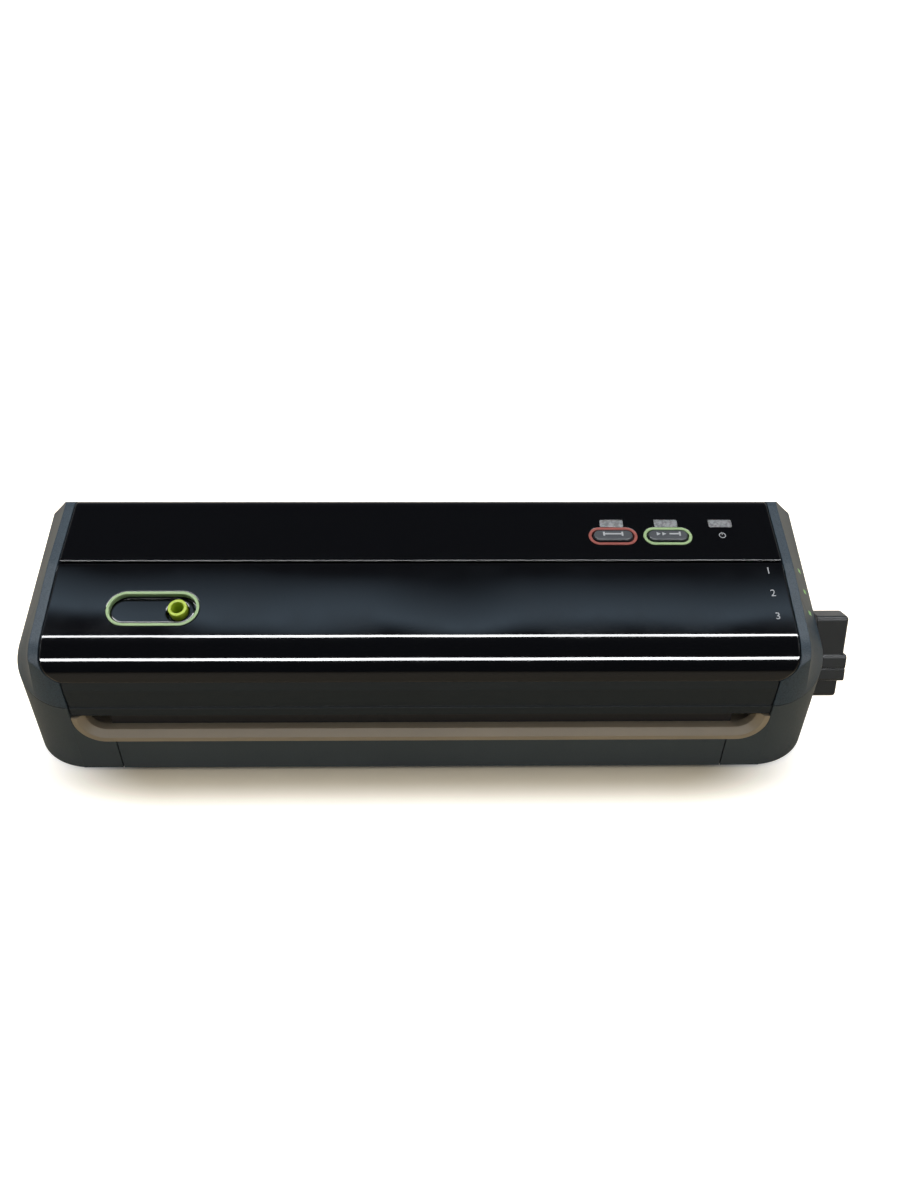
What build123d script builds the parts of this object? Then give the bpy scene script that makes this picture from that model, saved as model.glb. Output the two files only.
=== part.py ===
from build123d import *
import math
import os

os.makedirs("parts", exist_ok=True)

# Driving dimensions in mm. X runs along the machine, Y from its front to its back, Z up from the table.
HALF_W = 196.0
DEPTH = 150.0
FOOT_H = 2.0
FOOT_R = 8.0
WALL = 2.5
FIT = 0.2
FRONT_R = 33.0
REAR_R = 20.0
NOSE_R = 20.0
CREST_R = 7.0
BACK_R = 14.0
SEAM_Y = 49.4
SEAM_Z = 89.9
LID_SLOPE = 21.0
PANEL_SLOPE = 16.0
CREST_Y = 88.5
BACK_SLOPE = 46.0
BACK_PART = 8.5

# Side trims: a flush land beside the lid, then a steep flank down to a sloping seam.
TRIM_W = 22.7
LAND = 4.5
LAND_TURN = 78.0
TRIM_SEAM_Z = 42.3
TRIM_SEAM_SLOPE = 19.3
SEAM_GROOVE = 0.6
PIN_COVER = 9.1

# Lid outline seen from the front, and the gap that it runs in.
LID_CORNER_R = 13.0
LID_CORNER_Z = 70.6
FLAP_STEP = 8.3
GLOSS_Z = 58.5
FLAP_Z = 36.5
CREASE_Z = 42.3
LID_GAP = 0.7
LID_HALF = HALF_W - TRIM_W
FLAP_HALF = LID_HALF - FLAP_STEP

# Mouth and deck.
MOUTH_Z = 20.2
MOUTH_R = 14.0
CAP_WRAP = 17.4
CAP_GAP = 0.6
SHELF_Z = 25.6
LIP_BEVEL = 3.0
LIP_DEPTH = 7.0
LIP_SIDE = 5.0
RIDGE_Z = 31.0
LOWER_GASKET_Z = 36.0
GASKET_GAP = 0.3
PLATE_Z = 39.5
CHANNEL_END = 17.0
CHANNEL_Y = (18.5, 28.5)
CHANNEL_Z = 14.0
RIM_FRONT = 6.0
RIM_BACK = 5.0
HOSE_X = 60.0
HOSE_Z = 18.0
HOSE_R = 3.6
HOSE_BORE = 2.2
STRAINER_R = 0.6
STRAINER_PITCH = 1.5
STEP_IN = 5.5
STEP_Z = 37.0
SEAL_END = 15.0
BAR_W = 5.0
BAR_TOP = 33.0
STRIP_T = 0.25
CAP_SEAM = FLAP_HALF - CAP_WRAP
CHANNEL_HALF = FLAP_HALF - CHANNEL_END
SEAL_HALF = FLAP_HALF - SEAL_END
BULKHEAD_Y = SEAM_Y + 0.1

# Hinge at the back of the lid.
ROLL_R = 3.2
PIN_R = 1.5
PIN_L = 14.0
PIN_CLEAR = 0.1
ROLL_GAP = 0.8
ROLL_IN = 1.1
ROLL_Y = SEAM_Y - ROLL_IN

# Latch across the machine.
SHAFT_Y = 40.5
SHAFT_Z = 29.0
SHAFT_R = 3.0
BUSH_T = 2.0
STRIKER = (28.0, 43.0)
STRIKER_R = 2.0
HOOK_T = 4.5
HOOK_SIDE = 0.5
CHEEK_IN = 8.0
LOCK_TURN = 16.0
HOOK_CLEAR = 0.35
HOOK_BAND = 4.0
HOOK_HUB_R = 7.0
CHEEK = (FLAP_HALF - CHEEK_IN - WALL, FLAP_HALF - CHEEK_IN)
HOOK_X = (CHEEK[1] + HOOK_SIDE, CHEEK[1] + HOOK_SIDE + HOOK_T)

# Lever outside the right end: a paddle, a thumb rest across its middle and a short tail.
LEVER_GAP = 1.0
LEVER_W = 16.0
LEVER_TILT = 20.0
LEVER_UP = 30.5
LEVER_DOWN = 14.0
LEVER_T = 12.0
REST_LOW = -4.2
REST_HIGH = 10.0
REST_PROUD = 1.2
LEVER_BORE = 9.0
LEVER_X = (HALF_W + LEVER_GAP, HALF_W + LEVER_GAP + LEVER_W)

# Buttons and windows on the control panel: X in from the lid's right end, distance up the slope from the seam.
POWER_IN = 25.7
VACUUM_IN = 52.8
SEAL_IN = 79.8
BUTTON_S = 16.8
RING = (23.9, 10.9)
RING_LINE = 1.4
BUTTON_CLEAR = 0.9
BUTTON_PROUD = 1.2
LIGHT_S = 24.9
LIGHT = (11.5, 4.4)
BOARD_DEPTH = 8.0
BOARD = (92.0, 28.0)
BOARD_T = 1.6
POST_R = 2.2
POWER_X = LID_HALF - POWER_IN
SEAL_AT = (LID_HALF - SEAL_IN, BUTTON_S)
VACUUM_AT = (LID_HALF - VACUUM_IN, BUTTON_S)

# Accessory port on the lid: X in from the lid's left end, and distance down the slope from the seam.
CAPSULE_IN = 48.3
CAPSULE_S = 24.9
CAPSULE = (43.0, 18.3)
CAPSULE_LINE = 1.3
PORT_SIDE = 11.6
PORT_R = 4.4
PORT_BORE = 3.0
PORT_L = 16.0
PORT_PROUD = 1.0
DISH_DEPTH = 4.0
DISH_T = 1.5
CAPSULE_AT = (CAPSULE_IN - LID_HALF, -CAPSULE_S)
PORT_X = CAPSULE_AT[0] + PORT_SIDE

# Pump, transformer and cord gland in the rear of the base.
MOTOR_IN = 60.0
MOTOR_Z = 38.0
MOTOR_R = 18.0
MOTOR_L = 60.0
HEAD_W = 44.0
HEAD_TOP = 58.0
NIPPLE_SIDE = 10.0
NIPPLE_UP = 12.0
NIPPLE_L = 10.0
CORE = (45.0, 40.0, 43.5)
COIL = (57.0, 24.0, 31.5)
TRANSFORMER_IN = 47.5
MOTOR = (DEPTH - MOTOR_IN, MOTOR_Z)
NIPPLE = (MOTOR[0] - NIPPLE_SIDE, MOTOR_Z + NIPPLE_UP)
GLAND_OUT = 6.0
GLAND_IN = 76.0
GLAND_Z = 12.0
GLAND_R = 5.0
GLAND_BORE = 3.2
GLAND_X = HALF_W - GLAND_IN

lid_tan = math.tan(math.radians(LID_SLOPE))
panel_tan = math.tan(math.radians(PANEL_SLOPE))
seam_tan = math.tan(math.radians(TRIM_SEAM_SLOPE))
back_tan = math.tan(math.radians(BACK_SLOPE))
lid_sin = math.sin(math.radians(LID_SLOPE))
lid_cos = math.cos(math.radians(LID_SLOPE))

PANEL_PLANE = Plane((0, SEAM_Y, SEAM_Z), x_dir=(1, 0, 0),
                    z_dir=(0, -math.sin(math.radians(PANEL_SLOPE)), math.cos(math.radians(PANEL_SLOPE))))
LID_PLANE = Plane((0, SEAM_Y, SEAM_Z), x_dir=(1, 0, 0), z_dir=(0, -lid_sin, lid_cos))
ROLL_Z = SEAM_Z - (SEAM_Y - ROLL_Y) * lid_tan
AXIS = (ROLL_Y + ROLL_R * lid_sin, ROLL_Z - ROLL_R * lid_cos)

SPAN = HALF_W + 10
nodes = {}


# Plain solids from a box, a YZ outline run along X, an XZ outline run along Y, and a bar along X.
def box(x0, x1, y0, y1, z0, z1):
    return Pos((x0 + x1) / 2, (y0 + y1) / 2, (z0 + z1) / 2) * Box(x1 - x0, y1 - y0, z1 - z0)


def along_x(face, x0, x1):
    return Pos(x0, 0, 0) * extrude(Plane.YZ * face, x1 - x0)


def along_y(face, y0, y1):
    return Pos(0, y0, 0) * extrude(Plane.XZ * face, -(y1 - y0))


def bar_x(at, radius, x0, x1):
    return along_x(Pos(at[0], at[1]) * Circle(radius), x0, x1)


def outline(points):
    return make_face(Polyline(*points, close=True))


def slot(plane, at, size, z0, z1):
    shape = SlotOverall(size[0], size[1])
    return extrude(plane * (Pos(at[0], at[1], z0) * shape), z1 - z0)


def both_sides(solid):
    return solid, mirror(solid, about=Plane.YZ)


def near(sketch, y, z):
    return sketch.vertices().sort_by_distance((y, z, 0))[0]


def right_and_left(near_x, far_x):
    return [(near_x, far_x), (-far_x, -near_x)]


def lid_top(y):
    slope = lid_tan if y < SEAM_Y else panel_tan
    return SEAM_Z + (y - SEAM_Y) * slope


# The side outline of the whole machine: nose, lid slope, panel slope, crest, sloping back.
def side_outline(inset=0.0):
    crest_z = lid_top(CREST_Y)
    back_z = crest_z - (DEPTH - CREST_Y) * back_tan
    nose_z = lid_top(0.0)
    corners = [(0, -40), (0, nose_z), (SEAM_Y, SEAM_Z), (CREST_Y, crest_z), (DEPTH, back_z), (DEPTH, -40)]
    face = outline(corners)
    face = fillet(near(face, 0, nose_z), NOSE_R)
    face = fillet(near(face, CREST_Y, crest_z), CREST_R)
    face = fillet(near(face, DEPTH, back_z), BACK_R)
    return offset(face, -inset) if inset else face


def plan_outline(inset=0.0):
    face = outline([(-HALF_W, 0), (HALF_W, 0), (HALF_W, DEPTH), (-HALF_W, DEPTH)])
    face = fillet(face.vertices().group_by(Axis.Y)[0], FRONT_R)
    face = fillet(face.vertices().group_by(Axis.Y)[-1], REAR_R)
    return offset(face, -inset) if inset else face


def envelope(inset=0.0):
    body = along_x(side_outline(inset), -HALF_W, HALF_W)
    return body & extrude(Pos(0, 0, FOOT_H + inset) * plan_outline(inset), 120)


# The lid bay seen from the front: straight sides, a rounded corner, then the narrower mouth below.
def bay_outline(grow=0.0, low=-10.0):
    half = LID_HALF + grow
    radius = LID_CORNER_R + grow
    foot = FLAP_HALF + grow
    mid = half - radius
    turn = math.acos((foot - mid) / radius)
    drop = LID_CORNER_Z - radius * math.sin(turn)
    bend = (mid + radius * math.cos(turn / 2), LID_CORNER_Z - radius * math.sin(turn / 2))
    right = [
        Line((0, low), (foot, low)),
        Line((foot, low), (foot, drop)),
        ThreePointArc((foot, drop), bend, (half, LID_CORNER_Z)),
        Line((half, LID_CORNER_Z), (half, 140)),
        Line((half, 140), (0, 140)),
        Line((0, 140), (0, low)),
    ]
    face = make_face(right)
    return face + mirror(face, about=Plane.YZ)


# The trim flank: straight rulings from the edge of the land down to the seam, carried round the front corner.
def nose_y(z):
    centre_z = lid_top(0.0) - NOSE_R * math.tan(math.radians((90 - LID_SLOPE) / 2))
    if z <= centre_z:
        return 0.0
    if z < centre_z + NOSE_R * lid_cos:
        return NOSE_R - math.sqrt(NOSE_R ** 2 - (z - centre_z) ** 2)
    return SEAM_Y + (z - SEAM_Z) / lid_tan


def land_edge(step):
    radius = LID_CORNER_R + LID_GAP + LAND
    mid = LID_HALF - LID_CORNER_R
    straight = FRONT_R
    bend = radius * math.radians(LAND_TURN)
    run = step * (straight + bend)
    if run <= straight:
        start = nose_y(LID_CORNER_Z)
        y = FRONT_R + (start - FRONT_R) * run / straight
        z = lid_top(y)
        if y < NOSE_R * (1 - lid_sin):
            z = z_on_nose(y)
        return mid + radius, y, z
    turn = (run - straight) / bend * math.radians(LAND_TURN)
    z = LID_CORNER_Z - radius * math.sin(turn)
    return mid + radius * math.cos(turn), nose_y(z), z


def z_on_nose(y):
    centre_z = lid_top(0.0) - NOSE_R * math.tan(math.radians((90 - LID_SLOPE) / 2))
    return centre_z + math.sqrt(max(0.0, NOSE_R ** 2 - (NOSE_R - y) ** 2))


def seam_edge(step):
    angle = math.radians(90 - step * 89)
    x = HALF_W - FRONT_R + FRONT_R * math.sin(angle)
    y = FRONT_R - FRONT_R * math.cos(angle)
    return x, y, TRIM_SEAM_Z + y * seam_tan, angle


def flank_section(upper, lower, angle, inset):
    out = (math.sin(angle), -math.cos(angle), 0)
    shift = Vector(*out) * (-0.87 * inset) + Vector(0, 0, -0.5 * inset)
    top = Vector(*upper) + shift
    low = Vector(*lower) + shift
    run = low - top
    a = top - run * 0.3
    b = low + run * 0.6
    c = b + Vector(*out) * 40 + Vector(0, 0, 70)
    return Wire.make_polygon([a, b, c], close=True)


def flank_cutter(inset=0.0):
    edge = LID_HALF + LID_GAP + LAND
    straight = []
    for y in (DEPTH, SEAM_Y, FRONT_R):
        low_z = TRIM_SEAM_Z + y * seam_tan
        straight.append(flank_section((edge, y, lid_top(y)), (HALF_W, y, low_z), math.pi / 2, inset))
    side = Solid.make_loft(straight, ruled=True)
    turned = []
    for i in range(10):
        x, y, z, angle = seam_edge(i / 9)
        turned.append(flank_section(land_edge(i / 9), (x, y, z), angle, inset))
    corner = Solid.make_loft(turned)
    return [side, corner]


def end_block(inset=0.0):
    block = envelope(inset) & box(FLAP_HALF - 40, HALF_W, 0, DEPTH, 0, 120)
    block -= along_y(bay_outline(LID_GAP + inset), -5, DEPTH + 5)
    for cutter in flank_cutter(inset):
        block -= cutter if inset else cutter & above_seam(True)
    return block


def above_seam(keep_above):
    z0 = TRIM_SEAM_Z - 20 * seam_tan
    z1 = TRIM_SEAM_Z + 170 * seam_tan
    far = 160 if keep_above else -60
    return along_x(outline([(-20, z0), (170, z1), (170, far), (-20, far)]), FLAP_HALF - 50, SPAN)


def mouth_outline(half, bottom, radius, top):
    face = outline([(-half, bottom), (half, bottom), (half, top), (-half, top)])
    return fillet(face.vertices().group_by(Axis.Y)[0], radius)


# Side trims and end caps: one hollow end, parted along the sloping seam.
hollow = end_block() - end_block(WALL)
pin_block = box(LID_HALF + LID_GAP, LID_HALF + LID_GAP + LAND,
                AXIS[0] - 7, AXIS[0] + 7, AXIS[1] - 8.5, AXIS[1] + 8.5)
pin_block &= end_block()
trim = (hollow & above_seam(True)) + pin_block
trim -= bar_x(AXIS, PIN_R, LID_HALF, LID_HALF + LID_GAP + LAND - 0.5)

cap = hollow & above_seam(False)
groove = above_seam(False) - Pos(0, 0, -SEAM_GROOVE) * above_seam(False)
cap -= groove & (end_block() - end_block(SEAM_GROOVE))
skin = outline([(CAP_SEAM, FOOT_H), (FLAP_HALF + LID_GAP + 1, FOOT_H),
                (FLAP_HALF + LID_GAP + 1, TRIM_SEAM_Z), (CAP_SEAM, TRIM_SEAM_Z)])
skin -= mouth_outline(FLAP_HALF + LID_GAP, MOUTH_Z, MOUTH_R, 90)
cap += along_y(skin, 0, WALL)
cap -= bar_x((SHAFT_Y, SHAFT_Z), SHAFT_R + BUSH_T, FLAP_HALF, FLAP_HALF + LID_GAP + WALL + 1)

right_trim, left_trim = both_sides(trim)
right_cap, left_cap = both_sides(cap)
right_cap -= bar_x((SHAFT_Y, SHAFT_Z), SHAFT_R + 0.5, HALF_W - 10, HALF_W + 5)
nodes["right_end_cap"] = right_cap
nodes["left_end_cap"] = left_cap
nodes["right_side_trim"] = right_trim

# The left trim ends in a separate cover over the hinge pin.
cover_y = SEAM_Y + PIN_COVER
cover_z = lid_top(cover_y) + 3.5
cover_side = outline([(cover_y, cover_z), (cover_y + 60, cover_z - 60 * back_tan), (DEPTH + 50, 0),
                      (DEPTH + 50, 130), (cover_y, 130)])
cover_cut = along_x(cover_side, -SPAN, -FLAP_HALF + 60)
nodes["hinge_pin_cover"] = left_trim & cover_cut
nodes["left_side_trim"] = left_trim - cover_cut

# Base tub: floor, front wall between the end caps and a low rear wall.
TUB_HALF = FLAP_HALF + LID_GAP - FIT
tub = envelope() & box(-TUB_HALF, TUB_HALF, -1, DEPTH + 1, 0, MOUTH_Z)
tub -= envelope(WALL) & box(-TUB_HALF + WALL, TUB_HALF - WALL, -1, DEPTH + 1, 0, 60)
for low, high in right_and_left(CAP_SEAM - CAP_GAP, TUB_HALF + 1):
    tub -= box(low, high, -1, WALL + FIT, 0, 40)
screw_x = FLAP_HALF - 25
screw_spots = [(x, y) for x in (-screw_x, 0, screw_x) for y in (40, DEPTH - 25)]
for x, y in screw_spots:
    tub += Pos(x, y, FOOT_H + WALL + 3) * Cylinder(5, 6.0)
for x, y in screw_spots:
    tub -= Pos(x, y, FOOT_H + 2) * Cylinder(3.1, 4.0)
    tub -= Pos(x, y, FOOT_H + 6) * Cylinder(1.6, 12.0)
tub -= Pos(GLAND_X, DEPTH - 1, GLAND_Z) * Rot(90, 0, 0) * Cylinder(GLAND_R, 12)
nodes["base_tub"] = tub

screws = []
for x, y in screw_spots:
    head = Pos(x, y, FOOT_H + 2.75) * Cylinder(2.8, 2.5)
    head -= Pos(x, y, FOOT_H + 1.5) * Box(4.2, 0.9, 1.6)
    head -= Pos(x, y, FOOT_H + 1.5) * Box(0.9, 4.2, 1.6)
    screws.append(head + Pos(x, y, FOOT_H + 6.5) * Cylinder(1.5, 5.0))
nodes["base_screws"] = Compound(children=[s.solid() for s in screws])

foot_x = FLAP_HALF - 25
foot_spots = {"front_left_foot": (-foot_x, 18), "front_right_foot": (foot_x, 18),
              "rear_left_foot": (-foot_x, DEPTH - 12), "rear_right_foot": (foot_x, DEPTH - 12)}
for name, (x, y) in foot_spots.items():
    pad = Pos(x, y, FOOT_H / 2) * Cylinder(FOOT_R, FOOT_H)
    nodes[name] = fillet(pad.edges().group_by(Axis.Z)[0], 0.6)

# Bag deck: bevelled lip, shelf, vacuum channel with its rim and strained outlet, and the step over the shaft.
lip_outline = mouth_outline(TUB_HALF, MOUTH_Z, MOUTH_R, FLAP_Z - LID_GAP)
lip_half = FLAP_HALF - LIP_SIDE
lip_outline -= mouth_outline(lip_half, SHELF_Z, MOUTH_R - LIP_SIDE, 90)
deck = along_y(lip_outline, 0, LIP_DEPTH)
lip_edges = []
for edge in deck.edges().group_by(Axis.Y)[0]:
    middle = edge.center()
    if abs(middle.X) < lip_half + FIT and SHELF_Z - FIT < middle.Z < FLAP_Z - LID_GAP - FIT:
        lip_edges.append(edge)
deck = chamfer(lip_edges, LIP_BEVEL)
deck += box(-TUB_HALF, TUB_HALF, LIP_DEPTH, BULKHEAD_Y, SHELF_Z - WALL, SHELF_Z)
rim_y = (CHANNEL_Y[0] - RIM_FRONT, CHANNEL_Y[1] + RIM_BACK)
deck += box(-CHANNEL_HALF - 5.5, CHANNEL_HALF + 5.5, rim_y[0], rim_y[1], SHELF_Z - 1, RIDGE_Z)
deck += box(-CHANNEL_HALF - 2, CHANNEL_HALF + 2, CHANNEL_Y[0] - 2, CHANNEL_Y[1] + 2, CHANNEL_Z - 2, SHELF_Z)
channel = box(-CHANNEL_HALF, CHANNEL_HALF, CHANNEL_Y[0], CHANNEL_Y[1], CHANNEL_Z, RIDGE_Z + 5)
deck -= fillet(channel.edges().group_by(Axis.Z)[0], 3)
step_y = CHANNEL_Y[1] + STEP_IN
deck += box(-CHEEK[0] + 1, CHEEK[0] - 1, step_y, BULKHEAD_Y, SHELF_Z - 1, STEP_Z)
deck -= box(-CHEEK[0] - 5, CHEEK[0] + 5, step_y + 2, BULKHEAD_Y - 2, 0, STEP_Z - 2)
for low, high in right_and_left(CHEEK[0] - 0.6, FLAP_HALF - 1.4):
    deck -= box(low, high, rim_y[0] + 1, BULKHEAD_Y - 2, 0, 60)
strainer = [(0, 0), (STRAINER_PITCH, 0), (-STRAINER_PITCH, 0), (0, STRAINER_PITCH), (0, -STRAINER_PITCH)]
for across, up in strainer:
    hole = Pos(HOSE_X + across, CHANNEL_Y[1] + 1, HOSE_Z + up) * Rot(90, 0, 0)
    deck -= hole * Cylinder(STRAINER_R, 6)
nodes["bag_deck"] = deck

# Sealing line and lower gasket.
BAR_Y = (LIP_DEPTH, LIP_DEPTH + BAR_W)
nodes["seal_bar"] = box(-SEAL_HALF, SEAL_HALF, BAR_Y[0], BAR_Y[1], SHELF_Z, BAR_TOP)
strip_half = SEAL_HALF - 1
tape_z = BAR_TOP + STRIP_T
nodes["heating_strip"] = box(-strip_half, strip_half, BAR_Y[0] + 1.2, BAR_Y[1] - 1.2, BAR_TOP, tape_z)
nodes["release_tape"] = box(-strip_half, strip_half, BAR_Y[0] + FIT, BAR_Y[1] - FIT, tape_z, tape_z + STRIP_T)


def gasket(z0, z1):
    mid_y = (CHANNEL_Y[0] + CHANNEL_Y[1]) / 2
    span = CHANNEL_Y[1] - CHANNEL_Y[0]
    ring = RectangleRounded(2 * CHANNEL_HALF + 10.4, span + 9.4, 5)
    ring -= RectangleRounded(2 * CHANNEL_HALF + 1.0, span + 1.0, 3)
    return extrude(Pos(0, mid_y, z0) * ring, z1 - z0)


nodes["lower_gasket"] = gasket(RIDGE_Z, LOWER_GASKET_Z)

# Bulkhead behind the lid bay.
wall = along_y(bay_outline(LID_GAP, MOUTH_Z), BULKHEAD_Y, BULKHEAD_Y + WALL)
wall &= box(-SPAN, SPAN, 0, DEPTH, 0, AXIS[1] - ROLL_R - ROLL_GAP)
wall -= box(HOSE_X - 6, HOSE_X + 10, BULKHEAD_Y - 5, BULKHEAD_Y + 10, 0, HOSE_Z + 8)
nodes["rear_bulkhead"] = wall

# Control panel and rear cover: the skin between the trims, parted on the back slope.
PART_Y = CREST_Y + BACK_PART
core = envelope() & along_y(bay_outline(), -5, DEPTH + 5)
inner = envelope(WALL) & along_y(bay_outline(-WALL), -5, DEPTH + 5)
skin = core - inner
panel = skin & box(-SPAN, SPAN, ROLL_Y, PART_Y, AXIS[1] - 8, 130)
roll_room = bar_x(AXIS, ROLL_R + ROLL_GAP, -SPAN, SPAN)
panel -= roll_room
panel -= box(-SPAN, SPAN, 0, BULKHEAD_Y + WALL, 0, AXIS[1] + FIT)
skirt = core & box(-CHEEK[1], CHEEK[1], BULKHEAD_Y + WALL, BULKHEAD_Y + 2 * WALL, AXIS[1] - 9, SEAM_Z + 10)
panel += skirt - roll_room
for at in (SEAL_AT, VACUUM_AT):
    panel -= slot(PANEL_PLANE, at, RING, -6, 6)
for x in (SEAL_AT[0], VACUUM_AT[0], POWER_X):
    panel -= extrude(PANEL_PLANE * (Pos(x, LIGHT_S, -6) * RectangleRounded(*LIGHT, 0.8)), 12)
board_at = (VACUUM_AT[0] - 3.5, BUTTON_S + 3.2)
for x in (board_at[0] - BOARD[0] / 2 + 5, board_at[0] + BOARD[0] / 2 - 5):
    for s in (board_at[1] - BOARD[1] / 2 + 3.5, board_at[1] + BOARD[1] / 2 - 4):
        post = Cylinder(POST_R, BOARD_DEPTH - WALL + 0.5)
        panel += PANEL_PLANE * Pos(x, s, -(BOARD_DEPTH + WALL) / 2 + 0.25) * post
nodes["control_panel"] = panel

back = skin & box(-SPAN, SPAN, PART_Y, DEPTH + 5, MOUTH_Z, 130)
vent_y = (PART_Y + DEPTH) / 2 - 5.5
back_plane = Plane((0, vent_y, lid_top(CREST_Y) - (vent_y - CREST_Y) * back_tan), x_dir=(1, 0, 0),
                   z_dir=(0, math.sin(math.radians(BACK_SLOPE)), math.cos(math.radians(BACK_SLOPE))))
for i in range(9):
    vent = SlotOverall(24, 3, rotation=90)
    back -= extrude(back_plane * (Pos(-48 + 12 * i, 0, -8) * vent), 16)
nodes["rear_cover"] = back

# Button rings, buttons and light windows.
for name, at in (("seal", SEAL_AT), ("vacuum", VACUUM_AT)):
    hole = (RING[0] - 2 * RING_LINE, RING[1] - 2 * RING_LINE)
    ring = slot(PANEL_PLANE, at, RING, -WALL, 0.3) - slot(PANEL_PLANE, at, hole, -5, 5)
    nodes[name + "_button_ring"] = ring
    cap_size = (hole[0] - 2 * BUTTON_CLEAR, hole[1] - 2 * BUTTON_CLEAR)
    key = slot(PANEL_PLANE, at, cap_size, -4.5, BUTTON_PROUD)
    top_edges = key.faces().sort_by_distance(PANEL_PLANE.from_local_coords(Vector(at[0], at[1], 20)))[0].edges()
    key = fillet(top_edges, 0.6)
    key += slot(PANEL_PLANE, at, (RING[0] - 1.4, RING[1] - 1.4), -4.5, -WALL - 0.4)
    nodes[name + "_button"] = key
for name, x in (("seal", SEAL_AT[0]), ("vacuum", VACUUM_AT[0]), ("power", POWER_X)):
    lens = extrude(PANEL_PLANE * (Pos(x, LIGHT_S, -WALL) * RectangleRounded(*LIGHT, 0.8)), WALL + 0.2)
    nodes[name + "_light"] = lens

board_low = Pos(board_at[0], board_at[1], -BOARD_DEPTH - BOARD_T)
nodes["control_board"] = extrude(PANEL_PLANE * (board_low * RectangleRounded(*BOARD, 2)), BOARD_T)
switches = []
for at in (SEAL_AT, VACUUM_AT):
    switches.append(extrude(PANEL_PLANE * (Pos(at[0], at[1], -BOARD_DEPTH) * Rectangle(6, 6)), 2.1))
nodes["board_switches"] = Compound(children=[s.solid() for s in switches])
lamps = []
for x in (SEAL_AT[0], VACUUM_AT[0], POWER_X):
    lamps.append(extrude(PANEL_PLANE * (Pos(x, LIGHT_S, -BOARD_DEPTH) * Rectangle(3.5, 2.8)), 1.9))
nodes["board_lights"] = Compound(children=[s.solid() for s in lamps])

# Lid cover: a gloss skin with turned-down ends and a rolled back edge round the hinge axis.
cover = core & box(-SPAN, SPAN, -1, ROLL_Y, GLOSS_Z, 130)
cover -= inner & box(-SPAN, SPAN, -5, ROLL_Y + 5, 0, 130)
cover += bar_x(AXIS, ROLL_R, -LID_HALF, LID_HALF)
for low, high in right_and_left(LID_HALF - PIN_L - 1, LID_HALF + 1):
    cover -= bar_x(AXIS, PIN_R + PIN_CLEAR, low, high)
cover -= slot(LID_PLANE, CAPSULE_AT, CAPSULE, -8, 8)
nodes["lid_cover"] = cover

# Front flap of the lid with its crease.
frame_front = WALL + 0.5
flap_side = outline([(0.5, GLOSS_Z), (0, GLOSS_Z - 5), (0.7, CREASE_Z + 0.5), (1.3, CREASE_Z),
                     (0.3, CREASE_Z - 0.5), (0.6, FLAP_Z + 0.6), (1.2, FLAP_Z),
                     (frame_front, FLAP_Z), (frame_front, GLOSS_Z)])
nodes["lid_front_flap"] = along_x(flap_side, -FLAP_HALF, FLAP_HALF)

# Lid frame: plate with side walls, back wall up to the rolled edge, and cheeks for the strikers.
frame_back = BULKHEAD_Y - 4.5
frame = box(-FLAP_HALF, FLAP_HALF, frame_front, frame_back, PLATE_Z, PLATE_Z + WALL)
frame += box(-FLAP_HALF, FLAP_HALF, frame_front, frame_front + 2, PLATE_Z, GLOSS_Z)
back_wall = outline([(frame_back - WALL, PLATE_Z), (frame_back, PLATE_Z),
                     (AXIS[0] - 0.5, AXIS[1] - 2), (AXIS[0] - 3, AXIS[1] - 1)])
frame += along_x(back_wall, -CHEEK[1], CHEEK[1]) - bar_x(AXIS, ROLL_R, -SPAN, SPAN)
for low, high in right_and_left(FLAP_HALF - WALL, FLAP_HALF):
    frame += box(low, high, frame_front, frame_back + 1, PLATE_Z, GLOSS_Z)
for low, high in right_and_left(*CHEEK):
    frame += box(low, high, frame_front, frame_back - 1, PLATE_Z, GLOSS_Z)
for low, high in right_and_left(CHEEK[1], FLAP_HALF - WALL):
    frame -= box(low, high, frame_front + 2, DEPTH, 0, GLOSS_Z + 2)
for low, high in right_and_left(CHEEK[0], FLAP_HALF):
    frame -= bar_x(STRIKER, STRIKER_R, low, high)
for across, along in strainer:
    hole = Pos(PORT_X + across, (CHANNEL_Y[0] + CHANNEL_Y[1]) / 2 + along, PLATE_Z)
    frame -= hole * Cylinder(STRAINER_R, 12)
nodes["lid_frame"] = frame

nodes["upper_gasket"] = gasket(LOWER_GASKET_Z + GASKET_GAP, PLATE_Z)
nodes["pressure_strip"] = box(-SEAL_HALF, SEAL_HALF, BAR_Y[0] - 0.4, BAR_Y[1] + 0.4, BAR_TOP + 1.6, PLATE_Z)
right_striker, left_striker = both_sides(bar_x(STRIKER, STRIKER_R, CHEEK[0], FLAP_HALF))
nodes["right_striker"] = right_striker
nodes["left_striker"] = left_striker

# Accessory port: pale ring, dark dish, lime nozzle, nut and hose into the lid.
RING_IN = (CAPSULE[0] - 2 * CAPSULE_LINE, CAPSULE[1] - 2 * CAPSULE_LINE)
ring = slot(LID_PLANE, CAPSULE_AT, CAPSULE, -WALL, 0.3)
nodes["accessory_ring"] = ring - slot(LID_PLANE, CAPSULE_AT, RING_IN, -5, 5)
dish = slot(LID_PLANE, CAPSULE_AT, CAPSULE, -DISH_DEPTH - DISH_T, -WALL)
dish += slot(LID_PLANE, CAPSULE_AT, (CAPSULE[0] + 5, CAPSULE[1] + 5), -WALL - DISH_T, -WALL)
dish -= slot(LID_PLANE, CAPSULE_AT, RING_IN, -DISH_DEPTH, 0)
port_at = (PORT_X, CAPSULE_AT[1])
port_hole = extrude(LID_PLANE * (Pos(port_at[0], port_at[1], -20) * Circle(PORT_R)), 30)
nodes["accessory_dish"] = dish - port_hole
tube = Circle(PORT_R) - Circle(PORT_BORE)
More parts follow.
